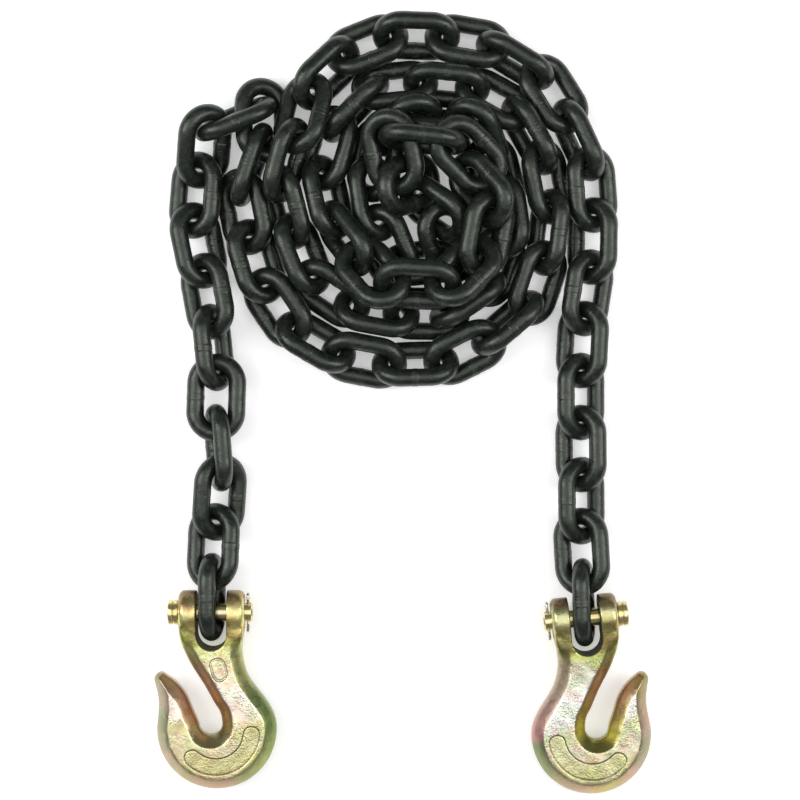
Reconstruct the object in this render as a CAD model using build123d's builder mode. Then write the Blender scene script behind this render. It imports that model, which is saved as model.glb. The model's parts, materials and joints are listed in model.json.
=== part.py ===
"""Tie-down safety chain: a coiled short-link chain with a clevis grab hook on each end.

Units are millimetres, +Z is up, +Y runs from the hooks to the coil.
"""
from build123d import *
import os
import numpy as np

os.makedirs("parts", exist_ok=True)

# ---- chain ----
ROD = 10.0                 # bar diameter
PITCH = 30.0               # inside length of a link
LINK_WIDTH = 33.5          # outside width of a link
WELD_BAND = 2.6            # length of the raised weld at the middle of one side
WELD_RAISE = 0.18          # how far the weld stands proud of the bar
CROWN = (LINK_WIDTH - ROD) / 2            # centreline radius of the round ends
STRAIGHT = PITCH + ROD - 2 * CROWN        # centreline length of the straight sides
LINK_COUNT = 77
FREE_RIGHT = 6             # links that swing freely above the right hook
FREE_LEFT = 5              # links that swing freely above the left hook
END_ROLL = 80.0            # a link standing in a clevis, degrees from lying flat
END_HEIGHT = 16.62         # height of its centre above the ground

# ---- clevis grab hook, measured from the pin axis ----
THICK = 20.0               # plate thickness of the forging
EDGE_ROUND = 3.4           # rounding where the sides meet the flat faces
EAR_ROUND = 1.5
BOWL = (2.5, -66.0)        # centre of the bowl and of its kidney-shaped pocket
POCKET_RADIUS = 20.0
POCKET_WIDTH = 9.0
POCKET_DEPTH = 0.9
CARTOUCHE = (4.2, -31.3)   # blank oval mark on one face only
CARTOUCHE_SIZE = (13.6, 9.0)
CARTOUCHE_GROOVE = 0.9
HEAD_WIDTH = 37.0
HEAD_RADIUS = 12.5
SLOT = 17.0                # gap between the ears
SLOT_FLOOR = -20.4
EAR_HOLE = 10.52

# ---- clevis pin and split cotter pin ----
PIN = 10.4
PIN_TIP = 23.0             # end of the pin, from the middle of the hook
PIN_HEAD = 14.0
PIN_HEAD_LENGTH = 6.0
PIN_HEAD_GROOVE = 0.6      # depth and half width of the groove round the head
PIN_BEHIND = 8.7           # pin axis to centre of the link it holds
PIN_HEIGHT = 15.62         # pin axis above the ground
COTTER_AT = 20.4
COTTER_HOLE = 3.6
WIRE = 1.6
REST_AT = 96.1             # distance from the pin axis to where the bowl touches the ground
HOOK_TURN = 5.9            # the right hook lies turned a little to the outside, degrees

# ---- the way the chain lies: plan points, with a height where it crosses itself ----
LIE = 14.0
RIGHT_RUN = [
    (104, -124.6, END_HEIGHT), (103, -95.9, END_HEIGHT), (102, -66, 15), (102, -36), (102, -6),
    (102, 24), (102, 54), (103, 84), (103, 114), (97, 143), (85, 170), (66, 189), (40, 198),
    (12, 201), (-16, 198),
]
RIGHT_COIL = [
    (-31, 194, 26), (-48, 178, 42), (-61, 154, 46), (-64, 125, 36), (-60, 97, 18), (-50, 73),
    (-27, 54), (-2, 47), (24, 46), (48, 60), (63, 85), (66, 110), (64, 135), (54, 158, 18),
    (32, 168, 18), (8, 165, 16), (-14, 152), (-25, 128), (-20, 102), (-4, 83), (20, 78, 16),
    (39, 88, 22),
]
MIDDLE = [(40, 106, 30), (21, 114, 38), (0, 112, 42), (-12, 133, 42), (6, 156, 40)]
LEFT_COIL = [
    (34, 156, 36), (54, 132, 30), (54, 100, 32), (43, 76, 38), (24, 63, 40), (-1, 64, 38),
    (-24, 77, 32), (-40, 101, 24), (-46, 127, 18), (-38, 152), (-24, 178), (4, 181), (32, 183),
    (58, 176), (77, 150), (84, 125), (80, 102), (74, 75), (61, 46), (36, 33), (7, 28), (-24, 31),
    (-51, 42), (-73, 56), (-82, 80), (-85, 105), (-85, 130), (-80, 138), (-66, 160), (-78, 180),
]
LEFT_RUN = [
    (-96, 164), (-108, 140), (-114, 111), (-110, 85), (-105, 57), (-101, 31), (-104, 5),
    (-102, -23), (-101, -52), (-104.5, -77, 15), (-105.3, -92.9, END_HEIGHT),
    (-105.3, -121.6, END_HEIGHT),
]
LOOP_TOP = (-71, 169)      # the link at the turn-round of the left run lies nearly flat
LEFT_RUN_ROLLS = (100, 34, -32, -98, -164, -230, -296)   # this run lies twisted, link by link
ROLL_SPREAD = 6.0
EXTRA_GAP = 0.65           # room kept between bars while the heap settles
SINK = 0.12                # how far a free link sinks in one step
SINKING, PARTING = 1600, 500              # steps of settling, then of parting only


def way_points():
    """The whole plan of the chain, from the right hook to the left hook."""
    plan = RIGHT_RUN + RIGHT_COIL + MIDDLE + LEFT_COIL + LEFT_RUN
    return [tuple(point) if len(point) == 3 else (point[0], point[1], LIE) for point in plan]


def smooth(points, steps=40):
    """A smooth curve through the points (Catmull-Rom)."""
    p = np.array(points, float)
    p = np.vstack([2 * p[0] - p[1], p, 2 * p[-1] - p[-2]])
    t = np.linspace(0, 1, steps, endpoint=False)[:, None]
    pieces = []
    for a, b, c, d in zip(p[:-3], p[1:-2], p[2:-1], p[3:]):
        cubic = (3 * b - a - 3 * c + d) * t**3
        square = (2 * a - 5 * b + 4 * c - d) * t**2
        pieces.append(0.5 * (2 * b + (c - a) * t + square + cubic))
    return np.vstack(pieces + [p[-2:-1]])


def joints_along(curve, step):
    """Points on the curve whose straight-line spacing is the step."""
    joints = [curve[0]]
    k = 0
    while True:
        away = np.linalg.norm(curve[k:] - joints[-1], axis=1)
        beyond = np.nonzero(away >= step)[0]
        if len(beyond) == 0:
            return np.array(joints)
        k = k + beyond[0]
        start, end = curve[k - 1], curve[k]
        low, high = 0.0, 1.0
        for _ in range(30):
            middle = (low + high) / 2
            if np.linalg.norm(start + (end - start) * middle - joints[-1]) < step:
                low = middle
            else:
                high = middle
        joints.append(start + (end - start) * low)
        k = k - 1


def chain_joints():
    """The joint points for exactly LINK_COUNT links, the last one at the end of the plan."""
    curve = smooth(way_points())
    low, high = 26.0, 31.0
    for _ in range(40):
        step = (low + high) / 2
        if len(joints_along(curve, step)) - 1 >= LINK_COUNT:
            low = step
        else:
            high = step
    return joints_along(curve, low)


def link_loop(count):
    """Evenly spaced points on the centreline of one link lying flat along X."""
    points = []
    half = STRAIGHT + np.pi * CROWN
    for k in range(count):
        s = 2 * half * k / count
        side = 1 if s < half else -1
        s = s % half
        if s < STRAIGHT:
            points.append((side * (s - STRAIGHT / 2), side * CROWN, 0))
        else:
            turn = (s - STRAIGHT) / CROWN
            points.append((side * (STRAIGHT / 2 + CROWN * np.sin(turn)), side * CROWN * np.cos(turn), 0))
    return np.array(points)


def starting_poses():
    """Every link between its two joints, rolled left and right in turn like any laid chain."""
    joints = chain_joints()
    centres = (joints[:-1] + joints[1:]) / 2
    jitter = np.random.default_rng(7).uniform(-ROLL_SPREAD, ROLL_SPREAD, LINK_COUNT)
    rolls = np.where(np.arange(LINK_COUNT) % 2 == 0, 45.0, -45.0) + jitter
    flat = np.argmin(np.linalg.norm(centres[:, :2] - np.array(LOOP_TOP), axis=1))
    rolls[flat] = 8.0
    rolls[0] = END_ROLL
    rolls[1] = 42.0
    for k, roll in enumerate(LEFT_RUN_ROLLS):
        rolls[LINK_COUNT - 1 - k] = roll
    rolls = np.radians(rolls)[:, None]
    along = joints[1:] - joints[:-1]
    along = along / np.linalg.norm(along, axis=1)[:, None]
    across = np.cross((0, 0, 1.0), along)
    across = across / np.linalg.norm(across, axis=1)[:, None]
    normal = np.cross(along, across)
    wide = np.cos(rolls) * across + np.sin(rolls) * normal
    thick = np.cos(rolls) * normal - np.sin(rolls) * across
    return centres, np.stack([along, wide, thick], axis=2)


def turned(frames, vectors):
    """The frames turned by small rotation vectors."""
    angle = np.linalg.norm(vectors, axis=1)
    k = vectors / np.maximum(angle, 1e-12)[:, None]
    skew = np.zeros((len(k), 3, 3))
    skew[:, 0, 1], skew[:, 0, 2], skew[:, 1, 2] = -k[:, 2], k[:, 1], -k[:, 0]
    skew = skew - np.transpose(skew, (0, 2, 1))
    sine = np.sin(angle)[:, None, None]
    rest = 1 - np.cos(angle)[:, None, None]
    return (np.eye(3) + sine * skew + rest * (skew @ skew)) @ frames


def settled_poses():
    """Let the links sink under their weight until they rest on the ground and on each other."""
    centres, frames = starting_poses()
    plan = centres[:, :2].copy()
    loop = link_loop(36)
    reach = ROD + EXTRA_GAP
    floor = ROD / 2 + 0.02
    stiffness = 230.0
    free = np.ones(LINK_COUNT)
    free[0] = 0
    free[-1] = 0
    for step in range(SINKING + PARTING):
        if step % 8 == 0:
            apart = np.linalg.norm(centres[:, None] - centres[None], axis=2)
            first, second = np.where(np.triu(apart < 54, 1))
        if step < SINKING:
            centres[:, 2] -= SINK * free
            centres[:, :2] += 0.01 * (plan - centres[:, :2]) * free[:, None]
        spots = centres[:, None, :] + loop @ np.transpose(frames, (0, 2, 1))
        a_spots, b_spots = spots[first], spots[second]
        squares = (a_spots**2).sum(2)[:, :, None] + (b_spots**2).sum(2)[:, None, :]
        squares -= 2 * a_spots @ np.transpose(b_spots, (0, 2, 1))
        pair, a, b = np.where(squares < reach**2)
        shift = np.zeros_like(centres)
        spin = np.zeros_like(centres)
        here, there = a_spots[pair, a], b_spots[pair, b]
        gap = here - there
        length = np.linalg.norm(gap, axis=1)
        depth = reach - length
        total = np.bincount(pair, depth, len(first))
        deepest = np.zeros(len(first))
        np.maximum.at(deepest, pair, depth)
        share = depth * (deepest / np.maximum(total, 1e-9))[pair]
        push = gap / np.maximum(length, 1e-9)[:, None] * share[:, None]
        one, two = first[pair], second[pair]
        both = np.maximum(free[one] + free[two], 1e-9)
        for which, spot, sign in ((one, here, 1), (two, there, -1)):
            move = sign * (free[which] / both)[:, None] * push
            twist = np.cross(spot - centres[which], move) / stiffness
            for axis in range(3):
                shift[:, axis] += np.bincount(which, move[:, axis], LINK_COUNT)
                spin[:, axis] += np.bincount(which, twist[:, axis], LINK_COUNT)
        sunk = np.maximum(floor - spots[:, :, 2], 0)
        lift = sunk * (sunk.max(1) / np.maximum(sunk.sum(1), 1e-9))[:, None]
        arm = spots - centres[:, None, :]
        shift[:, 2] += lift.sum(1)
        spin[:, 0] += (arm[:, :, 1] * lift).sum(1) / stiffness
        spin[:, 1] -= (arm[:, :, 0] * lift).sum(1) / stiffness
        shift *= 0.8 * free[:, None]
        spin *= 0.8 * free[:, None]
        shift *= np.minimum(1, 2.0 / np.maximum(np.linalg.norm(shift, axis=1), 1e-9))[:, None]
        spin *= np.minimum(1, 0.15 / np.maximum(np.linalg.norm(spin, axis=1), 1e-9))[:, None]
        centres = np.round(centres + shift, 7)
        frames = turned(frames, spin)
    return centres, frames


def place(centre, frame):
    """A Location from a centre and a frame of three column vectors."""
    plane = Plane(origin=tuple(centre), x_dir=tuple(frame[:, 0]), z_dir=tuple(frame[:, 2]))
    return plane.location


# ---- one link, lying flat along X ----
with BuildPart() as link:
    with BuildLine() as link_path:
        Line((-STRAIGHT / 2, -CROWN), (STRAIGHT / 2, -CROWN))
        JernArc((STRAIGHT / 2, -CROWN), (1, 0), CROWN, 180)
        Line((STRAIGHT / 2, CROWN), (-STRAIGHT / 2, CROWN))
        JernArc((-STRAIGHT / 2, CROWN), (-1, 0), CROWN, 180)
    with BuildSketch(Plane((0, -CROWN, 0), x_dir=(0, 1, 0), z_dir=(1, 0, 0))):
        Circle(ROD / 2)
    sweep(path=link_path.line)
    with BuildSketch(Plane.YZ.offset(-WELD_BAND / 2)):
        with Locations((CROWN, 0)):
            Circle(ROD / 2 + WELD_RAISE)
    extrude(amount=WELD_BAND)

# ---- clevis grab hook: pin axis along X through the origin, bowl towards -Y ----
with BuildSketch() as outline:
    with BuildLine():
        bowl = ThreePointArc((-30.6, -61), (3.5, -99.5), (36.1, -64))
        back = Spline(
            bowl @ 1, (34.6, -57.2), (25.9, -43.8), (19.2, -33), (17.1, -24.6), (17.0, -18),
            tangents=(bowl % 1, (0, 1)),
        )
        Polyline(back @ 1, (17.0, -3), (-17.4, -3), (-17.4, -13))
        shank = Spline(
            (-17.4, -13), (-15.2, -22.1), (-9.3, -32.9), (-3.1, -42.7), (2.1, -52.1), (5.7, -61.5),
            tangents=((0, -1), (0.1, -1)),
        )
        bottom = ThreePointArc(shank @ 1, (-0.9, -69.2), (-7.4, -63.6))
        inner = Spline(
            bottom @ 1, (-10.8, -55.1), (-14, -47.4), (-18.4, -41), (-26, -35),
            tangents=((-0.25, 1), (-1, 0.6)),
        )
        tip = ThreePointArc(inner @ 1, (-30.6, -34.2), (-32.3, -38.2))
        Spline(tip @ 1, (-30.4, -46), (-29.9, -53), bowl @ 0, tangents=((0.25, -1), (-0.1, -1)))
    make_face()

with BuildPart() as plate:
    add(outline.sketch)
    extrude(amount=THICK / 2, both=True)
    rims = plate.faces().sort_by(Axis.Z)[-1].edges() + plate.faces().sort_by(Axis.Z)[0].edges()
    fillet(rims, EDGE_ROUND)

with BuildPart() as head:
    with BuildSketch(Plane.YZ):
        with BuildLine():
            nape = Line((-25, -THICK / 2 + 0.6), (-25, THICK / 2 - 0.6))
            brow = ThreePointArc((-4.5, 11.66), (HEAD_RADIUS, 0), (-4.5, -11.66))
            Spline(nape @ 1, (-15, THICK / 2 + 0.3), brow @ 0, tangents=((1, 0), brow % 0))
            Spline(brow @ 1, (-15, -THICK / 2 - 0.3), nape @ 0, tangents=(brow % 1, (-1, 0)))
        make_face()
    extrude(amount=HEAD_WIDTH / 2, both=True)
    fillet(head.faces().filter_by(Axis.X).edges(), EAR_ROUND)
    with BuildSketch():
        with BuildLine():
            Polyline(
                (-18.5, 14), (18.5, 14), (18.5, -9), (17, -16), (17, -30), (-10, -30),
                (-15, -22), (-17.2, -15), (-18.5, -9), (-18.5, 14),
            )
        make_face()
    extrude(amount=HEAD_RADIUS + 1, both=True, mode=Mode.INTERSECT)

with BuildPart() as hook:
    add(plate.part)
    add(head.part)
    with BuildSketch():
        with Locations((0, SLOT_FLOOR + SLOT / 2 + 20)):
            SlotCenterToCenter(40, SLOT, rotation=90)
    extrude(amount=HEAD_RADIUS + 1, both=True, mode=Mode.SUBTRACT)
    with BuildSketch(Plane.YZ):
        Circle(EAR_HOLE / 2)
    extrude(amount=HEAD_WIDTH, both=True, mode=Mode.SUBTRACT)
    for face in (Plane.XY.offset(THICK / 2), Plane.XY.offset(-THICK / 2)):
        with BuildSketch(face):
            with BuildLine():
                CenterArc(BOWL, POCKET_RADIUS, -131, 126)
            SlotArc(CenterArc(BOWL, POCKET_RADIUS, -131, 126, mode=Mode.PRIVATE), POCKET_WIDTH)
        extrude(amount=POCKET_DEPTH if face.origin.Z < 0 else -POCKET_DEPTH, mode=Mode.SUBTRACT)
    with BuildSketch(Plane.XY.offset(THICK / 2)):
        with Locations(CARTOUCHE):
            SlotOverall(*CARTOUCHE_SIZE, rotation=105)
            inner_size = [size - 2 * CARTOUCHE_GROOVE for size in CARTOUCHE_SIZE]
            SlotOverall(*inner_size, rotation=105, mode=Mode.SUBTRACT)
    extrude(amount=-0.45, mode=Mode.SUBTRACT)

# ---- clevis pin: head on the tip side, cross hole near the other end ----
with BuildPart() as clevis_pin:
    head_face = HEAD_WIDTH / 2 + 0.2
    with BuildSketch(Plane.YZ.offset(-head_face)):
        Circle(PIN / 2)
    extrude(amount=head_face + PIN_TIP)
    chamfer(clevis_pin.edges().sort_by(Axis.X)[-1], 0.9)
    with BuildSketch(Plane.YZ.offset(-head_face)):
        Circle(PIN_HEAD / 2)
    extrude(amount=-PIN_HEAD_LENGTH)
    rim = clevis_pin.edges().sort_by(Axis.X)[0]
    shoulder = clevis_pin.edges().filter_by(GeomType.CIRCLE).group_by(SortBy.RADIUS)[-1].sort_by(Axis.X)[-1]
    fillet([rim, shoulder], 0.9)
    with BuildSketch(Plane.XY):
        with BuildLine():
            middle = -head_face - PIN_HEAD_LENGTH / 2
            Polyline(
                (middle - PIN_HEAD_GROOVE, PIN_HEAD / 2), (middle, PIN_HEAD / 2 - PIN_HEAD_GROOVE),
                (middle + PIN_HEAD_GROOVE, PIN_HEAD / 2), (middle - PIN_HEAD_GROOVE, PIN_HEAD / 2),
            )
        make_face()
    revolve(axis=Axis.X, mode=Mode.SUBTRACT)
    with BuildSketch(Plane.XZ):
        with Locations((COTTER_AT, 0)):
            Circle(COTTER_HOLE / 2)
    extrude(amount=PIN, both=True, mode=Mode.SUBTRACT)

# ---- split cotter pin: eye towards the chain, legs spread behind the pin ----
LEG = WIRE / 2 + 0.06      # half the spacing of the two legs
with BuildPart() as cotter_pin:
    with BuildLine(Plane.YZ.offset(COTTER_AT)) as wire_path:
        FilletPolyline(
            (-10.6, 3.6), (-6.2, LEG), (5.7, LEG), (7.2, 2.6), (10.4, 2.6), (10.4, -2.6),
            (7.2, -2.6), (5.7, -LEG), (-6.2, -LEG), (-9.6, -4.0), radius=1.3,
        )
    with BuildSketch(Plane(wire_path.line @ 0, z_dir=wire_path.line % 0)):
        Circle(WIRE / 2)
    sweep(path=wire_path.line)

# ---- put everything in its place ----
centres, frames = settled_poses()
HOOK_TILT = np.degrees(np.arcsin((PIN_HEIGHT - THICK / 2) / REST_AT))
pieces = {}


def save_hook(side, end_link, chain_way, turn, flip):
    """Hook, pin and cotter pin of one end, all three from the same drawing."""
    spot = centres[end_link] - PIN_BEHIND * chain_way
    where = Pos(spot[0], spot[1], PIN_HEIGHT) * Rot(0, 0, turn) * Rot(HOOK_TILT, 0, 0) * Rot(0, flip, 0)
    pieces[f"{side}_hook"] = hook.part.moved(where)
    pieces[f"{side}_clevis_pin"] = clevis_pin.part.moved(where)
    pieces[f"{side}_cotter_pin"] = cotter_pin.part.moved(where)


def save_links(label, numbers):
    """One node holding the given links as separate solids."""
    with BuildPart() as node:
        for number in numbers:
            add(link.part.moved(place(centres[number], frames[number])))
    pieces[label] = node.part


save_hook("right", 0, frames[0][:, 0], HOOK_TURN, 180)
save_hook("left", -1, -frames[-1][:, 0], 0, 0)
for number in range(FREE_RIGHT):
    save_links(f"right_run_link_{number + 1}", [number])
for number in range(FREE_LEFT):
    save_links(f"left_run_link_{number + 1}", [LINK_COUNT - 1 - number])
coil = list(range(FREE_RIGHT, LINK_COUNT - FREE_LEFT))
for number in range(0, len(coil), 2):
    save_links(f"coil_links_{number // 2 + 1:02d}", coil[number:number + 2])

# ---- the whole assembly stands on the ground, centred on the origin ----
box = Compound(list(pieces.values())).bounding_box()
centring = Pos(-box.center().X, -box.center().Y, -box.min.Z)
for label, piece in pieces.items():
    piece = piece.moved(centring)
    piece.label = label
    export_step(piece, f"parts/{label}.step")
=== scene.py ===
"""Looks for the tie-down chain: black links, yellow-chromate hooks and pins, on a pale floor."""
import json
import math
import bmesh
import bpy
import numpy as np
from mathutils import Matrix, Vector
from mathutils.kdtree import KDTree


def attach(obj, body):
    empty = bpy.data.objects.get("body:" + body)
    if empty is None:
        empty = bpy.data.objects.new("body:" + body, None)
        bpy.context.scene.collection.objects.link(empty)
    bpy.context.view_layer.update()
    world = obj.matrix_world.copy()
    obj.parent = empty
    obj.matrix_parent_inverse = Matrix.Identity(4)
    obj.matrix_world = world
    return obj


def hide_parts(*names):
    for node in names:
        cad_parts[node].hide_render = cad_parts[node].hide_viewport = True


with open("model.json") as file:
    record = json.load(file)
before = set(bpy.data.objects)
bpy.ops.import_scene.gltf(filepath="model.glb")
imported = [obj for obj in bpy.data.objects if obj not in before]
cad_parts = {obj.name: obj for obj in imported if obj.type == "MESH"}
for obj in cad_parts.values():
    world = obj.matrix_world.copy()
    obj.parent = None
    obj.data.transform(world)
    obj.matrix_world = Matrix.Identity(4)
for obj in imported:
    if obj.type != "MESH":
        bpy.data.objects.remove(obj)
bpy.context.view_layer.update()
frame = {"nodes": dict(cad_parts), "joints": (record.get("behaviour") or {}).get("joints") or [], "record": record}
nodes = frame["nodes"]
MM = 0.001

# ---- link, in millimetres ----
ROD = 5.0                  # bar radius
CROWN = 11.75              # centreline radius of the round ends
HALF_STRAIGHT = 8.25       # half the straight side
WELD_HALF = 1.9            # half the length of the weld collar
COLLAR_RAISE = (0.06, 0.15)  # lowest and highest weld collar
GROOVE_DEPTH, GROOVE_WIDTH = 0.055, 0.22   # beside the collar
GROOVE_PLACE = WELD_HALF + 0.15            # from the middle of the weld
SEAM_DEPTH, SEAM_WIDTH = 0.04, 0.2         # at the middle of the weld
FLASH_HALF, FLASH_HEIGHT = 0.9, 0.16       # upset metal on the inside of the weld
WAVES = ((0.05, 0.35), (0.04, 0.9))        # height and turn per millimetre of the bar's unevenness
SHRINK = 0.03              # keeps the uneven bar within the even one
BEND_FLAT = 0.16           # how much the bar is flattened outside its bends
AROUND = 28                # points round the bar
FINE_HALF = 3.0            # the stations are close together this far to each side of the weld
FINE_STEP, COARSE_STEP = 0.3, 1.35
MIDDLE_BAND = 1.5          # half the stretch of a CAD link in which its weld is looked for
PROUD = ROD + 0.1          # a CAD bar's points beyond this radius belong to the weld

# ---- hook, in millimetres from the pin axis ----
HALF_THICK = 10.0
CAD_ROUND = 3.4            # rounding of the CAD plate, which the draft takes the place of
DRAFT_WIDTH = 6.4          # how far the flat face stands in from the outline
DRAFT_DROP = 5.4           # how far the draft falls straight, from the face to the outline
DRAFT_CURL = 2.2           # how far it falls besides by curling down towards the outline
CURL_LIMIT = 0.98          # keeps the curl's slope finite at the outline
FACE_ROUND = 0.55          # rounding between the face and the draft
FOLD_ROOM = 3.0            # how far in from the draft that rounding is followed
FACE_LEVEL = 7.5           # points higher or lower than this lie on a face
PLATE_START, PLATE_FULL = 14.0, 25.0       # below the pin axis, where the drafted plate takes over
BOWL = (2.5, -66.0)        # middle of the hook's bowl
POCKET_RADIUS = 20.0       # of the kidney-shaped pocket's middle line, round the bowl
POCKET_START, POCKET_SWEEP = -131.0, 126.0     # degrees
POCKET_HALF = 4.5          # half its width
POCKET_DEPTH = 0.35
POCKET_EDGE = (-0.2, 0.5)  # inside the pocket's edge, where the face sinks
POCKET_LINE = 0.34         # width of the line along the pocket's edge
MARK = (4.2, -31.3)        # middle of the blank oval
MARK_TURN = 105.0          # direction of its long side, in degrees
MARK_HALF_LONG, MARK_HALF = 2.3, 4.5
MARK_LINES = ((0.15, 0.30, 1.0), (1.05, 0.24, 0.7))    # inside its edge, width and strength
MARK_TOP = -22.0           # the mark's lines stay below this
LINE_DEPTH = 0.34          # of the lines pressed into the faces
VOXEL = 0.53               # of the even mesh
EVEN_POCKET, EVEN_MARK = 1.6, 1.8      # how near a line the mesh is evened out
FINE_RIM, FINE_POCKET, FINE_MARK = 0.7, 0.8, 1.2       # how near a line it is made finer
MARK_MIDDLE = 0.4          # the mark's lines are looked for round a line this far inside its edge
RIM_TOP = -16.0            # the face's rim stays below this
FLAT_REACH, FLAT_POCKET, FLAT_MARK = 3.6, 2.0, 2.2     # where the face is made flat for its lines
SLOT_END, SLOT_HALF = -11.9, 8.5       # where the slot's round end has its middle, and its radius
SLOT_ROOM = (9.0, -21.5)   # half width and lower end of the stretch whose outline is the slot's
HEAD_HALF, HEAD_RADIUS = 18.5, 12.5    # half the width over both ears, and the radius of their tops
HEAD_ROUND = 3.4           # rounding of the ears' outer corners
HEAD_START, HEAD_FULL = -11.0, -7.0        # along the ears, where that rounding comes in
HOOK_LENGTH = 115.0        # from the top of the ears down, for the film's colours
AROUND_START = 80.0        # degrees round the bowl at which the outside's colours start
OUTLINE_SPACING = 0.25     # between the points that stand for the outline
EVEN_ROUNDS, EVEN_SHARE = 8, 0.5       # how often, and how far each time, the mesh is evened out
SOFT_ROUNDS, SOFT_SHARE = 40, 0.6      # the same where the ears run into the shank
EAR_OUTSIDE = (9.3, 11.5)  # distance from the hook's middle at which an ear's outside comes in
EAR_BELOW = (-27.0, -21.0)     # and the same along the hook, at the lower end of that stretch
EAR_ABOVE = (6.0, 9.0)     # and at its upper end, measured down from the pin axis
THROAT_NEAR, THROAT_FAR = 7.0, 9.5     # the throat's walls are this near its middle line, and fade out
# The middle line of the throat's opening, from its bottom out to its mouth.
THROAT_LINE = [(-0.7, -68), (-1.2, -62), (-3.9, -55), (-8.5, -48), (-12, -41), (-17.5, -35), (-22, -29)]


def link_to_scene(obj):
    """Put a new object into the scene."""
    bpy.context.scene.collection.objects.link(obj)
    return obj


def set_coords(mesh, points):
    """Move a mesh's vertices to new places."""
    mesh.vertices.foreach_set("co", np.asarray(points, np.float32).ravel())
    mesh.update()


def get_coords(mesh):
    """The places of a mesh's vertices."""
    points = np.zeros(len(mesh.vertices) * 3, np.float32)
    mesh.vertices.foreach_get("co", points)
    return points.reshape(-1, 3).astype(float)


def put_attribute(mesh, name, values):
    """A number on each vertex, for the material to read."""
    layer = mesh.attributes.new(name, "FLOAT", "POINT")
    layer.data.foreach_set("value", np.asarray(values, np.float32))


# ---- node helpers ----
class Nodes:
    """A short way to write a material's node tree."""

    def __init__(self, name):
        self.material = bpy.data.materials.new(name)
        self.material.use_nodes = True
        self.tree = self.material.node_tree
        self.shader = self.tree.nodes["Principled BSDF"]

    def add(self, kind, inputs=(), **settings):
        """A new node with its settings and inputs."""
        node = self.tree.nodes.new(kind)
        for key, value in settings.items():
            setattr(node, key, value)
        for key, value in dict(inputs).items():
            self.wire(value, node.inputs[key])
        return node

    def wire(self, value, socket):
        """Link a socket to another, or set it to a plain value."""
        if isinstance(value, bpy.types.NodeSocket):
            self.tree.links.new(value, socket)
        else:
            socket.default_value = value

    def place(self):
        """The object's own coordinates."""
        return self.add("ShaderNodeTexCoord").outputs["Object"]

    def noise(self, scale, detail=3.0, rough=0.55, stretch=None):
        """A cloudy value from 0 to 1, drawn out along an axis if a stretch is given."""
        where = self.place()
        if stretch:
            where = self.add("ShaderNodeMapping", {"Vector": where, "Scale": stretch}).outputs[0]
        node = self.add("ShaderNodeTexNoise", {"Vector": where, "Scale": scale, "Detail": detail,
                                               "Roughness": rough})
        return node.outputs["Fac"]

    def ramp(self, value, stops):
        """Colours or greys by value, from (value, colour) stops."""
        node = self.add("ShaderNodeValToRGB", {"Fac": value})
        ramp = node.color_ramp
        while len(ramp.elements) < len(stops):
            ramp.elements.new(0.5)
        for element, (spot, colour) in zip(ramp.elements, stops):
            element.position = spot
            element.color = (*colour, 1.0) if isinstance(colour, tuple) else (colour, colour, colour, 1.0)
        return node.outputs["Color"]

    def mix(self, amount, a, b, blend="MIX"):
        """Colour a turning into colour b by the amount."""
        node = self.add("ShaderNodeMix", data_type="RGBA", blend_type=blend)
        self.wire(amount, node.inputs[0])
        for value, socket in ((a, node.inputs[6]), (b, node.inputs[7])):
            self.wire((*value, 1.0) if isinstance(value, tuple) else value, socket)
        return node.outputs[2]

    def math(self, operation, a, b):
        """Two values joined by an operation."""
        node = self.add("ShaderNodeMath", operation=operation)
        self.wire(a, node.inputs[0])
        self.wire(b, node.inputs[1])
        return node.outputs[0]

    def attribute(self, name):
        """A number that put_attribute has put on the mesh."""
        return self.add("ShaderNodeAttribute", attribute_name=name).outputs["Fac"]

    def bump(self, height, distance, strength, normal=None):
        """A surface direction from a height, on top of another if one is given."""
        node = self.add("ShaderNodeBump", {"Height": height, "Distance": distance, "Strength": strength})
        if normal:
            self.wire(normal, node.inputs["Normal"])
        return node.outputs["Normal"]


# ---- materials ----
# Colours down the face, from the top of the ears to the bottom of the bowl: film colours, with painted shade at
# the ears' top and lower edge (stops 0.00 and 0.21) and a painted highlight over the pin axis (stop 0.10), along
# the ears' round tops.
LEFT_FACE = [(0.00, (0.27, 0.19, 0.11)), (0.05, (0.50, 0.39, 0.19)), (0.10, (0.84, 0.79, 0.36)),
             (0.15, (0.66, 0.59, 0.21)), (0.21, (0.29, 0.23, 0.08)), (0.27, (0.57, 0.59, 0.17)),
             (0.34, (0.78, 0.77, 0.44)), (0.42, (0.88, 0.76, 0.58)), (0.50, (0.95, 0.90, 0.84)),
             (0.60, (0.92, 0.84, 0.70)), (0.68, (0.74, 0.70, 0.34)), (0.76, (0.74, 0.68, 0.45)),
             (0.84, (0.69, 0.61, 0.32)), (0.92, (0.80, 0.77, 0.43))]
# The right hook's stops over the ears hold the same painted shade and painted highlight.
RIGHT_FACE = [(0.00, (0.22, 0.16, 0.09)), (0.05, (0.38, 0.32, 0.17)), (0.10, (0.62, 0.61, 0.35)),
              (0.15, (0.50, 0.47, 0.19)), (0.21, (0.24, 0.20, 0.07)), (0.27, (0.48, 0.52, 0.15)),
              (0.34, (0.56, 0.57, 0.42)), (0.42, (0.74, 0.73, 0.62)), (0.50, (0.94, 0.96, 0.94)),
              (0.60, (0.80, 0.80, 0.74)), (0.68, (0.68, 0.68, 0.42)), (0.76, (0.76, 0.71, 0.54)),
              (0.84, (0.65, 0.60, 0.32)), (0.92, (0.76, 0.75, 0.45))]
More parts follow.
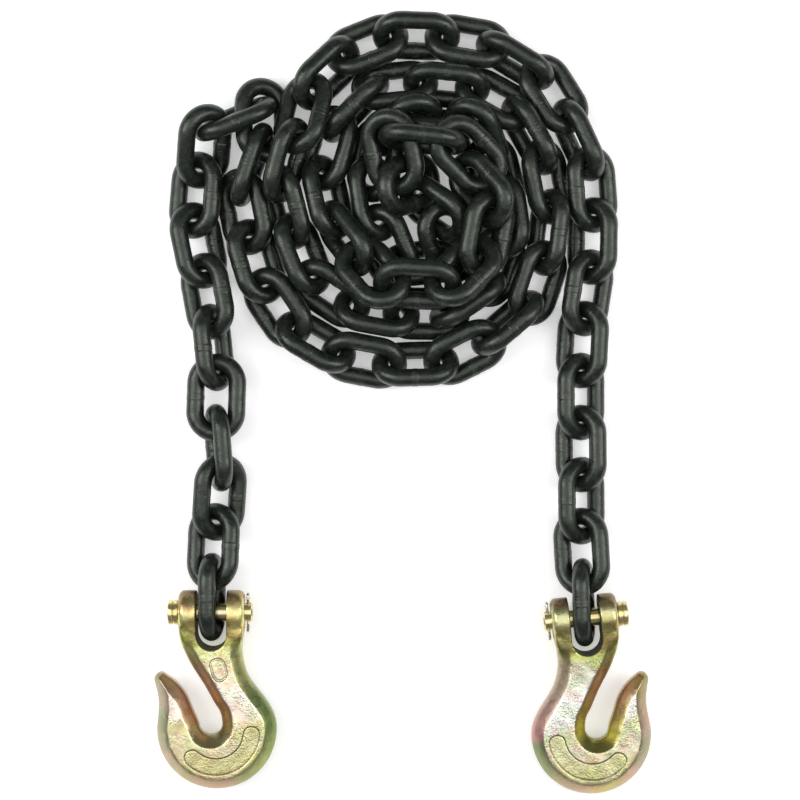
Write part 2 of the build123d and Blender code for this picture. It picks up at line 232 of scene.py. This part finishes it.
# Colours round the outside: from the back of the shank, under the bowl, up to the tip. Film hues, kept darker than
# the face as painted shade on the sideways-facing drafted sides.
LEFT_OUTSIDE = [(0.00, (0.44, 0.42, 0.18)), (0.10, (0.23, 0.27, 0.11)), (0.22, (0.21, 0.28, 0.10)),
                (0.30, (0.36, 0.40, 0.15)), (0.38, (0.30, 0.31, 0.13)), (0.48, (0.48, 0.31, 0.22)),
                (0.56, (0.42, 0.37, 0.18)), (0.64, (0.50, 0.40, 0.27)), (0.74, (0.34, 0.36, 0.22)),
                (0.80, (0.44, 0.36, 0.27)), (0.90, (0.30, 0.30, 0.13))]
# The same for the right hook: film hues, darkened as painted shade on the drafted sides.
RIGHT_OUTSIDE = [(0.00, (0.38, 0.32, 0.20)), (0.10, (0.44, 0.33, 0.26)), (0.20, (0.54, 0.29, 0.28)),
                 (0.26, (0.22, 0.28, 0.14)), (0.34, (0.34, 0.32, 0.17)), (0.42, (0.52, 0.33, 0.23)),
                 (0.50, (0.50, 0.44, 0.16)), (0.58, (0.54, 0.36, 0.27)), (0.68, (0.34, 0.34, 0.20)),
                 (0.76, (0.50, 0.34, 0.27)), (0.86, (0.30, 0.29, 0.10))]
# Colours down the throat's walls: film hues, kept dark as painted shade on these sideways-facing walls.
LEFT_THROAT = [(0.36, (0.42, 0.33, 0.24)), (0.48, (0.48, 0.33, 0.22)), (0.58, (0.52, 0.31, 0.17)),
               (0.66, (0.40, 0.32, 0.17)), (0.74, (0.28, 0.26, 0.13))]
RIGHT_THROAT = [(0.36, (0.40, 0.27, 0.16)), (0.48, (0.50, 0.33, 0.20)), (0.58, (0.46, 0.36, 0.16)),
                (0.66, (0.54, 0.50, 0.13)), (0.74, (0.24, 0.24, 0.07))]


def chain_material():
    """Black-finished steel: a thin dark skin, a little greyer where it is rubbed, with fine scale."""
    n = Nodes("black_chain")
    cloud = n.noise(90.0, 4.0, 0.6)
    grain = n.noise(1300.0, 3.0, 0.6)
    streak = n.noise(300.0, 3.0, 0.6)
    base = n.ramp(cloud, [(0.30, (0.0040, 0.0060, 0.0044)), (0.55, (0.0080, 0.0110, 0.0084)),
                          (0.78, (0.0150, 0.0185, 0.0145))])
    rubbed = n.math("MULTIPLY", n.attribute("wear"), n.ramp(streak, [(0.48, 0.0), (0.70, 0.6)]))
    base = n.mix(rubbed, base, (0.045, 0.048, 0.043))
    specks = n.ramp(grain, [(0.67, 0.0), (0.74, 1.0)])
    base = n.mix(n.math("MULTIPLY", specks, 0.35), base, (0.080, 0.082, 0.075))
    weld = n.math("MULTIPLY", n.attribute("weld"), n.ramp(streak, [(0.40, 0.0), (0.62, 0.30)]))
    base = n.mix(weld, base, (0.060, 0.060, 0.052))
    n.wire(base, n.shader.inputs["Base Color"])
    n.shader.inputs["Metallic"].default_value = 0.0
    n.shader.inputs["Specular IOR Level"].default_value = 0.55
    n.shader.inputs["Specular Tint"].default_value = (0.91, 1.0, 0.88, 1.0)
    n.wire(n.ramp(n.noise(240.0, 3.0), [(0.3, 0.23), (0.7, 0.40)]), n.shader.inputs["Roughness"])
    coarse = n.bump(n.noise(380.0, 3.0, 0.6), 0.00034, 0.55)
    n.wire(n.bump(grain, 0.00012, 0.65, coarse), n.shader.inputs["Normal"])
    return n.material


def forging_material(name, face_film_and_painted_light, outside, throat):
    """Yellow chromate on a forging: film colours by place on the face, the outside and the throat, with painted
    light added: a painted highlight and painted shade over the ears, painted shade on the drafted sides and throat
    walls, in the pressed lines and in the slot.
    """
    n = Nodes(name)
    drift = n.math("SUBTRACT", n.noise(55.0, 4.0, 0.62), 0.5)
    face = n.ramp(n.math("ADD", n.attribute("down"), n.math("MULTIPLY", drift, 0.34)), face_film_and_painted_light)
    blush = n.ramp(n.noise(125.0, 3.0, 0.6), [(0.42, (0.96, 0.80, 0.74)), (0.50, (1.0, 1.0, 1.0)),
                                              (0.60, (0.88, 0.96, 0.76))])
    face = n.mix(0.75, face, blush, "MULTIPLY")
    side = n.ramp(n.math("ADD", n.attribute("around"), n.math("MULTIPLY", drift, 0.22)), outside)
    wall = n.ramp(n.math("ADD", n.attribute("down"), n.math("MULTIPLY", drift, 0.30)), throat)
    side = n.mix(n.attribute("throat"), side, wall)
    # The drafted sides and throat walls take their darker colours: film hues with painted shade.
    film = n.mix(n.attribute("draft"), face, side)
    pocket = n.attribute("pocket")
    film = n.mix(n.math("MULTIPLY", pocket, 0.40), film, (0.62, 0.62, 0.24))
    grain = n.noise(1050.0, 2.0, 0.6)
    patch = n.ramp(n.noise(80.0, 3.0, 0.55), [(0.40, 0.12), (0.54, 1.0)])
    patch = n.math("MAXIMUM", patch, n.math("MULTIPLY", pocket, 0.8))
    patch = n.math("MULTIPLY", patch, n.attribute("face"))
    pits = n.math("MULTIPLY", n.ramp(grain, [(0.41, 1.0), (0.475, 0.0)]), patch)
    film = n.mix(n.math("MULTIPLY", pits, 0.56), film, (0.24, 0.20, 0.19))
    # Painted shade: the pressed lines along the pocket's edge and round the oval are darkened to near black.
    film = n.mix(n.math("MULTIPLY", n.attribute("line"), 0.85), film, (0.10, 0.09, 0.04))
    # Painted shade and a painted reflection: the slot's walls are darkened to near black, for the shade in the
    # slot and the black link mirrored in them, and made less metallic and rougher.
    slot = n.attribute("slot")
    film = n.mix(n.math("MULTIPLY", slot, 0.90), film, (0.025, 0.028, 0.018))
    n.wire(film, n.shader.inputs["Base Color"])
    n.wire(n.math("MULTIPLY", n.math("SUBTRACT", 1.0, slot), 0.92), n.shader.inputs["Metallic"])
    rough = n.ramp(n.noise(190.0, 3.0), [(0.3, 0.24), (0.7, 0.38)])
    n.wire(n.math("MAXIMUM", rough, n.math("MULTIPLY", slot, 0.8)), n.shader.inputs["Roughness"])
    coarse = n.bump(n.noise(330.0, 3.0, 0.55), 0.00034, 0.5)
    relief = n.math("MULTIPLY", grain, n.math("ADD", n.math("MULTIPLY", patch, 0.8), 0.2))
    relief = n.math("SUBTRACT", relief, n.math("MULTIPLY", pits, 0.12))
    n.wire(n.bump(relief, 0.00036, 0.70, coarse), n.shader.inputs["Normal"])
    return n.material


def pin_material():
    """Yellow chromate on a turned pin: smoother than the forging, with fine rings."""
    n = Nodes("yellow_zinc_pin")
    cloud = n.noise(120.0, 3.0, 0.55)
    n.wire(n.ramp(cloud, [(0.30, (0.60, 0.50, 0.20)), (0.55, (0.84, 0.76, 0.42)),
                          (0.75, (0.74, 0.56, 0.40))]), n.shader.inputs["Base Color"])
    n.shader.inputs["Metallic"].default_value = 1.0
    n.wire(n.ramp(cloud, [(0.3, 0.18), (0.7, 0.30)]), n.shader.inputs["Roughness"])
    turned = n.bump(n.noise(1300.0, 2.0, 0.5, stretch=(1.0, 0.05, 0.05)), 0.00006, 0.5)
    n.wire(n.bump(n.noise(700.0, 3.0, 0.6), 0.00006, 0.5, turned), n.shader.inputs["Normal"])
    return n.material


def wire_material():
    """Bright zinc wire, a little yellowed."""
    n = Nodes("zinc_wire")
    cloud = n.noise(300.0, 3.0)
    n.wire(n.ramp(cloud, [(0.35, (0.62, 0.58, 0.46)), (0.65, (0.78, 0.76, 0.68))]),
           n.shader.inputs["Base Color"])
    n.shader.inputs["Metallic"].default_value = 1.0
    n.wire(n.ramp(cloud, [(0.3, 0.22), (0.7, 0.36)]), n.shader.inputs["Roughness"])
    n.wire(n.bump(n.noise(1500.0, 2.0), 0.00004, 0.4), n.shader.inputs["Normal"])
    return n.material


FLOOR_GLOW = 0.35          # the floor's own light, which keeps the shadows on it faint


def floor_material():
    """Pale, matt paper that shines a little by itself."""
    n = Nodes("paper_floor")
    n.wire(n.ramp(n.noise(3.0, 2.0), [(0.3, (0.90, 0.90, 0.90)), (0.7, (0.92, 0.92, 0.92))]),
           n.shader.inputs["Base Color"])
    n.shader.inputs["Roughness"].default_value = 0.9
    n.shader.inputs["Emission Color"].default_value = (1.0, 1.0, 1.0, 1.0)
    n.shader.inputs["Emission Strength"].default_value = FLOOR_GLOW
    return n.material


CHAIN = chain_material()
FORGED = {
    "left": forging_material("yellow_zinc_left", LEFT_FACE, LEFT_OUTSIDE, LEFT_THROAT),
    "right": forging_material("yellow_zinc_right", RIGHT_FACE, RIGHT_OUTSIDE, RIGHT_THROAT),
}
TURNED = pin_material()
ZINC = wire_material()


# ---- reading the frame ----
def loose_solids(node):
    """The closed solids of a CAD node, each as (points, triangles) in metres."""
    mesh = bmesh.new()
    mesh.from_mesh(nodes[node].data)
    bmesh.ops.remove_doubles(mesh, verts=mesh.verts, dist=1e-6)
    bmesh.ops.triangulate(mesh, faces=mesh.faces)
    mesh.verts.ensure_lookup_table()
    points = np.array([v.co for v in mesh.verts])
    triangles = np.array([[v.index for v in f.verts] for f in mesh.faces])
    mesh.free()
    owner = np.arange(len(points))
    while True:
        lowest = owner[triangles].min(1)
        after = owner.copy()
        for corner in range(3):
            np.minimum.at(after, triangles[:, corner], lowest)
        after = after[after]
        if (after == owner).all():
            break
        owner = after
    return [(points, triangles[owner[triangles[:, 0]] == one]) for one in np.unique(owner)]


def link_frame(points, triangles):
    """Centre and axes of a link solid: along, across to the welded side, and through."""
    a, b, c = (points[triangles[:, k]] for k in range(3))
    volume = np.einsum("ij,ij->i", a, np.cross(b, c)) / 6
    centre = (volume[:, None] * (a + b + c) / 4).sum(0) / volume.sum()
    a, b, c = a - centre, b - centre, c - centre
    total = a + b + c
    moment = np.einsum("i,ij,ik->jk", volume, total, total)
    for corner in (a, b, c):
        moment += np.einsum("i,ij,ik->jk", volume, corner, corner)
    _, axes = np.linalg.eigh(moment)
    along, across, through = axes[:, 2], axes[:, 1], axes[:, 0]
    used = points[np.unique(triangles)] - centre
    middle = used[np.abs(used @ along) < MIDDLE_BAND * MM]
    radial = np.hypot(np.abs(middle @ across) - CROWN * MM, middle @ through)
    proud = middle[radial > PROUD * MM]
    if len(proud) and (proud @ across).mean() < 0:
        across = -across
    if np.linalg.det(np.stack([along, across, through], 1)) < 0:
        through = -through
    return Matrix.Translation(Vector(centre)) @ Matrix(np.stack([along, across, through], 1)).to_4x4()


# ---- chain links ----
def bar_station(s, length):
    """The bar's middle, outward direction and amount of bend at a distance s from its weld."""
    place = (s + HALF_STRAIGHT) % length
    side = 1
    if place >= length / 2:
        place -= length / 2
        side = -1
    if place < 2 * HALF_STRAIGHT:
        spot = Vector((place - HALF_STRAIGHT, CROWN, 0))
        out = Vector((0, 1, 0))
        bend = 0.0
    else:
        turn = (place - 2 * HALF_STRAIGHT) / CROWN
        spot = Vector((HALF_STRAIGHT + CROWN * math.sin(turn), CROWN * math.cos(turn), 0))
        out = Vector((math.sin(turn), math.cos(turn), 0))
        bend = math.sin(turn)
    return spot * side, out * side, bend


def ring_faces(rings, around):
    """Four-sided faces between the points of neighbouring rings of a closed loop."""
    faces = []
    for ring in range(rings):
        start, after = ring * around, (ring + 1) % rings * around
        for k in range(around):
            beside = (k + 1) % around
            faces.append((start + k, start + beside, after + beside, after + k))
    return faces


def link_mesh(name, seed):
    """One link: an uneven bent bar, a little flat outside the bends, with its weld on one side."""
    random = np.random.default_rng(seed)
    length = 2 * (2 * HALF_STRAIGHT + math.pi * CROWN)
    fine = np.arange(-FINE_HALF, FINE_HALF, FINE_STEP)
    coarse = np.arange(FINE_HALF, length - FINE_HALF, COARSE_STEP)
    stations = np.concatenate([fine, coarse])
    phases = random.uniform(0, 2 * math.pi, 6)     # the first three are used
    collar_raise = random.uniform(*COLLAR_RAISE)
    points, wear, weld = [], [], []
    for s in stations:
        spot, out, bend = bar_station(s, length)
        from_weld = abs(s)
        collar = collar_raise * max(0.0, 1 - (from_weld / WELD_HALF) ** 6)
        groove = -GROOVE_DEPTH * math.exp(-((from_weld - GROOVE_PLACE) / GROOVE_WIDTH) ** 2)
        seam = -SEAM_DEPTH * math.exp(-(s / SEAM_WIDTH) ** 2)
        wave = sum(height * math.sin(turn * s + phase) for (height, turn), phase in zip(WAVES, phases))
        for k in range(AROUND):
            angle = 2 * math.pi * k / AROUND
            outward, up = math.cos(angle), math.sin(angle)
            flash = FLASH_HEIGHT * max(0.0, -outward) ** 8 if from_weld < FLASH_HALF else 0.0
            radius = ROD + collar + groove + seam + flash
            radius += 0.5 * wave * math.sin(2 * angle + phases[2]) - SHRINK
            radius -= BEND_FLAT * bend * max(0.0, outward) ** 2
            points.append(spot + out * (radius * outward) + Vector((0, 0, radius * up)))
            wear.append(0.25 + 0.75 * bend * abs(outward) + 0.35 * abs(up) * (1 - bend))
            weld.append(1.0 if from_weld < WELD_HALF + 0.1 else 0.0)
    mesh = bpy.data.meshes.new(name)
    mesh.from_pydata([p * MM for p in points], [], ring_faces(len(stations), AROUND))
    put_attribute(mesh, "wear", wear)
    put_attribute(mesh, "weld", weld)
    mesh.polygons.foreach_set("use_smooth", [True] * len(mesh.polygons))
    mesh.materials.append(CHAIN)
    return mesh


def build_links():
    """Lay a new link over every link solid of the CAD, riding with the same body."""
    seed = 0
    for body, members in frame["record"]["behaviour"]["bodies"].items():
        for node in members:
            if "link" not in node:
                continue
            for number, (points, triangles) in enumerate(loose_solids(node)):
                name = f"{node}_{'ab'[number]}"
                mesh = link_mesh(name, seed)
                seed += 1
                mesh.transform(link_frame(points, triangles))
                piece = link_to_scene(bpy.data.objects.new(name, mesh))
                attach(piece, body)
                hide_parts(node)


build_links()


# ---- hooks ----
def hook_axes(side):
    """Pin axis point and the hook's own directions: outward from the tip, to the chain, and up."""
    pin = next(j for j in frame["joints"] if j["name"] == f"{side}_pin_turn")
    mount = next(m for m in frame["record"]["mounts"] if m["name"] == f"{side}_hook_side")
    up = np.array(mount["axis"], float)
    away = np.array(pin["axis"], float)
    away = away - up * (away @ up)
    away /= np.linalg.norm(away)
    towards = np.cross(up, away)
    if towards[1] < 0:
        towards = -towards
    if (away[0] < 0) != (side == "right"):
        away = -away
    return np.array(pin["pos_m"], float), np.stack([away, towards, up])


def outline_tree(mesh):
    """Points along the hook's outline at mid thickness, without the slot, for distances."""
    cut = bmesh.new()
    cut.from_mesh(mesh)
    result = bmesh.ops.bisect_plane(cut, geom=cut.verts[:] + cut.edges[:] + cut.faces[:],
                                    plane_co=(0, 0, 0), plane_no=(0, 0, 1))
    spots = []
    for edge in result["geom_cut"]:
        if not isinstance(edge, bmesh.types.BMEdge):
            continue
        a, b = (v.co / MM for v in edge.verts)
        steps = max(2, int((b - a).length / OUTLINE_SPACING))
        spots.extend(a.lerp(b, k / steps) for k in range(steps + 1))
    cut.free()
    spots = [p for p in spots if not (abs(p[0]) < SLOT_ROOM[0] and p[1] > SLOT_ROOM[1])]
    tree = KDTree(len(spots))
    for index, p in enumerate(spots):
        tree.insert((p[0], p[1], 0), index)
    tree.balance()
    return tree


def segment_distance(x, y, start, end):
    """Distance of points from a straight segment."""
    dx, dy = end[0] - start[0], end[1] - start[1]
    along = np.clip(((x - start[0]) * dx + (y - start[1]) * dy) / (dx * dx + dy * dy), 0, 1)
    return np.hypot(x - start[0] - along * dx, y - start[1] - along * dy)


def pocket_distance(x, y):
    """Signed distance from the edge of the kidney-shaped pocket, negative inside it."""
    dx, dy = x - BOWL[0], y - BOWL[1]
    turn = (np.degrees(np.arctan2(dy, dx)) - POCKET_START) % 360
    turn = np.where(turn <= POCKET_SWEEP, turn, np.where(turn < 180 + POCKET_SWEEP / 2, POCKET_SWEEP, 0))
    turn = np.radians(turn + POCKET_START)
    return np.hypot(dx - POCKET_RADIUS * np.cos(turn), dy - POCKET_RADIUS * np.sin(turn)) - POCKET_HALF


def mark_distance(x, y):
    """Signed distance from the edge of the blank oval mark, negative inside it."""
    turn = math.radians(MARK_TURN)
    reach = (MARK_HALF_LONG * math.cos(turn), MARK_HALF_LONG * math.sin(turn))
    start = (MARK[0] - reach[0], MARK[1] - reach[1])
    end = (MARK[0] + reach[0], MARK[1] + reach[1])
    return segment_distance(x, y, start, end) - MARK_HALF


def ridge(value, width):
    """A smooth bump of height 1 where the value is 0."""
    return np.exp(-(value / width) ** 2)


def step(value, low, high):
    """Smoothly from 0 at low to 1 at high."""
    t = np.clip((value - low) / (high - low), 0, 1)
    return t * t * (3 - 2 * t)


def draft_height(reach):
    """Half thickness of the forging at a distance in from its outline."""
    t = np.clip((DRAFT_WIDTH - reach) / DRAFT_WIDTH, 0, 1)
    past = np.maximum(DRAFT_WIDTH - reach, -FOLD_ROOM)
    fold = 0.5 * (past + np.sqrt(past * past + FACE_ROUND ** 2))
    fold -= 0.5 * FACE_ROUND ** 2 / (FOLD_ROOM + FACE_ROUND)
    straight = DRAFT_DROP * fold / DRAFT_WIDTH
    return HALF_THICK - straight - DRAFT_CURL * (1 - np.sqrt(1 - CURL_LIMIT * t ** 2))


def round_ears(local):
    """Round the outer corners of the ears as a forging's are."""
    radius = np.maximum(np.hypot(local[:, 1], local[:, 2]), 1e-6)
    across = np.abs(local[:, 0]) - (HEAD_HALF - HEAD_ROUND)
    out = radius - (HEAD_RADIUS - HEAD_ROUND)
    length = np.hypot(across, out)
    corner = (across > 0) & (out > 0) & (length > HEAD_ROUND) & (local[:, 1] > HEAD_START)
    pull = np.where(corner, HEAD_ROUND / np.maximum(length, 1e-6), 1.0)
    pull = 1 - (1 - pull) * step(local[:, 1], HEAD_START, HEAD_FULL)
    scale = np.where(corner, (HEAD_RADIUS - HEAD_ROUND + out * pull) / radius, 1.0)
    rounded = np.sign(local[:, 0]) * (HEAD_HALF - HEAD_ROUND + across * pull)
    local[:, 0] = np.where(corner, rounded, local[:, 0])
    local[:, 1] *= scale
    local[:, 2] *= scale
    return local


def neighbours_middle(points, edges):
    """For each point, the middle of the points it shares an edge with."""
    total = np.zeros_like(points)
    count = np.zeros(len(points))
    for a, b in ((0, 1), (1, 0)):
        np.add.at(total, edges[:, a], points[edges[:, b]])
        np.add.at(count, edges[:, a], 1)
    return total / np.maximum(count, 1)[:, None]


def relax(local, edges, chosen):
    """Even out the chosen points in plan, each towards the middle of its neighbours."""
    for _ in range(EVEN_ROUNDS):
        middle = neighbours_middle(local[:, :2], edges)
        local[chosen, :2] += EVEN_SHARE * (middle[chosen] - local[chosen, :2])
    return local


def soften(local, edges, weight):
    """Blend a stretch of the surface smooth, by its weight at each point."""
    for _ in range(SOFT_ROUNDS):
        local += SOFT_SHARE * weight[:, None] * (neighbours_middle(local, edges) - local)
    return local


def edge_pairs(mesh):
    """The two point numbers of every edge."""
    pairs = np.zeros(len(mesh.edges) * 2, np.int32)
    mesh.edges.foreach_get("vertices", pairs)
    return pairs.reshape(-1, 2)


def remeshed(mesh):
    """The hook's solid with an even, finer mesh."""
    piece = link_to_scene(bpy.data.objects.new("even", mesh))
    remesh = piece.modifiers.new("even", "REMESH")
    remesh.mode = "VOXEL"
    remesh.voxel_size = VOXEL * MM
    smooth = piece.modifiers.new("smooth", "SMOOTH")
    smooth.factor = 0.5
    smooth.iterations = 3
    result = bpy.data.meshes.new_from_object(piece.evaluated_get(bpy.context.evaluated_depsgraph_get()))
    bpy.data.objects.remove(piece)
    return result


def refine(mesh, wanted):
    """Cut the edges whose middles lie where the wanted function says."""
    work = bmesh.new()
    work.from_mesh(mesh)
    middles = np.array([(e.verts[0].co + e.verts[1].co) / (2 * MM) for e in work.edges])
    chosen = wanted(middles)
    edges = [edge for edge, yes in zip(work.edges, chosen) if yes]
    bmesh.ops.subdivide_edges(work, edges=edges, cuts=1, use_grid_fill=True)
    bmesh.ops.triangulate(work, faces=[face for face in work.faces if len(face.verts) > 4])
    work.to_mesh(mesh)
    work.free()


class HookPlan:
    """Places on one hook, in millimetres, seen along its thickness."""

    def __init__(self, mesh, mark_side):
        self.tree = outline_tree(mesh)
        self.mark_side = mark_side

    def reach(self, points):
        """How far each point stands in from the outline, and the outline's nearest spot."""
        found = [self.tree.find((x, y, 0)) for x, y in points[:, :2]]
        return np.array([f[2] for f in found]), np.array([f[0][:2] for f in found])

    def near_pocket(self, points, room):
        """Points of both faces that lie close to the edge of the pocket."""
        close = np.abs(pocket_distance(points[:, 0], points[:, 1])) < room
        return close & (np.abs(points[:, 2]) > FACE_LEVEL)

    def near_mark(self, points, room):
        """Points of the marked face that lie close to the lines of the oval."""
        close = np.abs(mark_distance(points[:, 0], points[:, 1]) + MARK_MIDDLE) < room
        return close & (points[:, 2] * self.mark_side > FACE_LEVEL)

    def near_lines(self, points):
        """Points where the finer mesh is wanted: the faces' rim, the pocket's edge and the mark."""
        rim = np.abs(self.reach(points)[0] - DRAFT_WIDTH) < FINE_RIM
        rim &= (np.abs(points[:, 2]) > FACE_LEVEL) & (points[:, 1] < RIM_TOP)
        return rim | self.near_pocket(points, FINE_POCKET) | self.near_mark(points, FINE_MARK)


class Forging:
    """The forged surface over a hook's even mesh: where each point lies on it, its height and looks."""

    def __init__(self, plan, local, mark_side):
        x, y, z = local.T
        self.reach, self.nearest = plan.reach(local)
        self.plate = step(-y, PLATE_START, PLATE_FULL)
        self.on_face = np.abs(z) > FACE_LEVEL
        self.pocket, self.mark = pocket_distance(x, y), mark_distance(x, y)
        self.sunk = step(-self.pocket, *POCKET_EDGE) * self.on_face
        self.marked_side = z * mark_side > 0
        oval = sum(strength * ridge(self.mark + inside, width) for inside, width, strength in MARK_LINES)
        oval = np.where(self.marked_side & (y < MARK_TOP), oval, 0)
        self.lines = (ridge(self.pocket, POCKET_LINE) + oval) * self.on_face

    def heights(self, local):
        """Heights with drafted sides, the sunk pocket, the forged lines and a slight unevenness."""
        x, y, z = local.T
        cad = np.minimum(self.reach, CAD_ROUND)
        cad = HALF_THICK - CAD_ROUND + np.sqrt(CAD_ROUND ** 2 - (CAD_ROUND - cad) ** 2)
        level = np.abs(z) * draft_height(self.reach) / cad
        near = (self.pocket < FLAT_POCKET) | ((self.mark < FLAT_MARK) & self.marked_side)
        flat = self.on_face & (self.reach > FLAT_REACH) & near
        level = np.where(flat, draft_height(self.reach), level)
        level -= POCKET_DEPTH * self.sunk + LINE_DEPTH * self.lines
        wave = 0.10 * np.sin(0.31 * x + 0.6) * np.cos(0.23 * y) + 0.06 * np.sin(0.55 * x - 0.41 * y)
        level += wave * step(self.reach, 2.0, 8.0) * self.on_face
        level = level * self.plate + np.abs(z) * (1 - self.plate)
        return np.sign(z) * level

    def paint(self, mesh, local):
        """Put the numbers on the points that the forging's material reads."""
        x, y = local[:, 0], local[:, 1]
        on_side = step(DRAFT_WIDTH - self.reach, -0.15, 0.45) * self.plate
        throat = np.full(len(local), np.inf)
        for start, end in zip(THROAT_LINE, THROAT_LINE[1:]):
            throat = np.minimum(throat, segment_distance(*self.nearest.T, start, end))
        slot = np.hypot(x, np.minimum(y - SLOT_END, 0)) - SLOT_HALF
        turn = AROUND_START - np.degrees(np.arctan2(y - BOWL[1], x - BOWL[0]))
        face = (1 - on_side) * self.plate + 0.3 * (1 - self.plate)
        put_attribute(mesh, "draft", on_side)
        put_attribute(mesh, "throat", step(-throat, -THROAT_FAR, -THROAT_NEAR))
        put_attribute(mesh, "around", turn % 360 / 360)
        put_attribute(mesh, "down", (HEAD_RADIUS - y) / HOOK_LENGTH)
        # Where the material paints shade and the black link's reflection onto the slot's walls.
        put_attribute(mesh, "slot", step(-slot, -0.40, -0.10))
        put_attribute(mesh, "pocket", self.sunk)
        put_attribute(mesh, "face", np.clip(face, 0, 1))
        # The material paints shade into the pressed lines by this number.
        put_attribute(mesh, "line", np.clip(self.lines, 0, 1))


def lower_ears(local):
    """How much each point belongs to the ears' outsides, where they run into the shank."""
    x, y = local[:, 0], local[:, 1]
    return step(np.abs(x), *EAR_OUTSIDE) * step(y, *EAR_BELOW) * step(-y, *EAR_ABOVE)


def build_hook(side):
    """A forging in place of the CAD hook: its outline, with drafted sides and forged lines."""
    node = f"{side}_hook"
    origin, axes = hook_axes(side)
    mark_side = 1 if side == "left" else -1
    mesh = nodes[node].data.copy()
    set_coords(mesh, (get_coords(mesh) - origin) @ axes.T)
    plan = HookPlan(mesh, mark_side)
    mesh = remeshed(mesh)

    local = get_coords(mesh) / MM
    chosen = plan.near_pocket(local, EVEN_POCKET) | plan.near_mark(local, EVEN_MARK)
    set_coords(mesh, relax(local, edge_pairs(mesh), chosen) * MM)
    refine(mesh, plan.near_lines)

    local = get_coords(mesh) / MM
    forging = Forging(plan, local, mark_side)
    local[:, 2] = forging.heights(local)
    local = round_ears(local)
    local = soften(local, edge_pairs(mesh), lower_ears(local))
    set_coords(mesh, local * MM @ axes + origin)
    if np.linalg.det(axes) < 0:
        mesh.flip_normals()
    forging.paint(mesh, local)

    mesh.polygons.foreach_set("use_smooth", [True] * len(mesh.polygons))
    mesh.materials.clear()
    mesh.materials.append(FORGED[side])
    piece = link_to_scene(bpy.data.objects.new(f"{node}_forging", mesh))
    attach(piece, node)
    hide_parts(node)


for side in ("left", "right"):
    build_hook(side)
    for node, material in ((f"{side}_clevis_pin", TURNED), (f"{side}_cotter_pin", ZINC)):
        nodes[node].data.materials.clear()
        nodes[node].data.materials.append(material)


# ---- floor, light and camera, in metres ----
FLOOR_HALF = 4.0
FLOOR_DROP = 0.0003        # keeps the floor clear of the undersides that rest on it
SKY = 0.20                 # strength of the light from all round
CAMERA_PLACE = (-0.0016, 0.0018, 1.45)
VIEW_WIDTH = 0.4515        # across the picture, at the height of VIEW_LEVEL
VIEW_LEVEL = 0.01
FILM_WIDTH = 36.0          # in millimetres, as Blender has it

floor = link_to_scene(bpy.data.objects.new("floor", bpy.data.meshes.new("floor")))
corners = [(x * FLOOR_HALF, y * FLOOR_HALF, 0) for x, y in ((-1, -1), (1, -1), (1, 1), (-1, 1))]
floor.data.from_pydata(corners, [], [(0, 1, 2, 3)])
floor.data.materials.append(floor_material())
floor.location.z = -FLOOR_DROP

world = bpy.data.worlds.new("studio")
bpy.context.scene.world = world
world.use_nodes = True
world.node_tree.nodes["Background"].inputs["Color"].default_value = (1.0, 1.0, 1.0, 1.0)
world.node_tree.nodes["Background"].inputs["Strength"].default_value = SKY


def softbox(name, spot, size, power):
    """A rectangular lamp that looks at the middle of the chain."""
    light = bpy.data.lights.new(name, "AREA")
    light.shape = "RECTANGLE"
    light.size, light.size_y = size
    light.energy = power
    lamp = link_to_scene(bpy.data.objects.new(name, light))
    lamp.location = spot
    lamp.rotation_euler = (-Vector(spot)).to_track_quat("-Z", "Y").to_euler()


softbox("overhead", (0, 0, 1.75), (1.6, 1.6), 11.0)
softbox("key_left", (-0.95, 0.15, 0.95), (0.7, 1.0), 10.0)
softbox("key_right", (0.95, 0.05, 0.95), (0.6, 1.0), 8.6)

camera = link_to_scene(bpy.data.objects.new("camera", bpy.data.cameras.new("camera")))
camera.data.sensor_width = FILM_WIDTH
camera.data.lens = FILM_WIDTH * (CAMERA_PLACE[2] - VIEW_LEVEL) / VIEW_WIDTH
camera.location = CAMERA_PLACE
camera.data.clip_start = 0.05
bpy.context.scene.camera = camera
bpy.context.scene.view_settings.view_transform = "Standard"
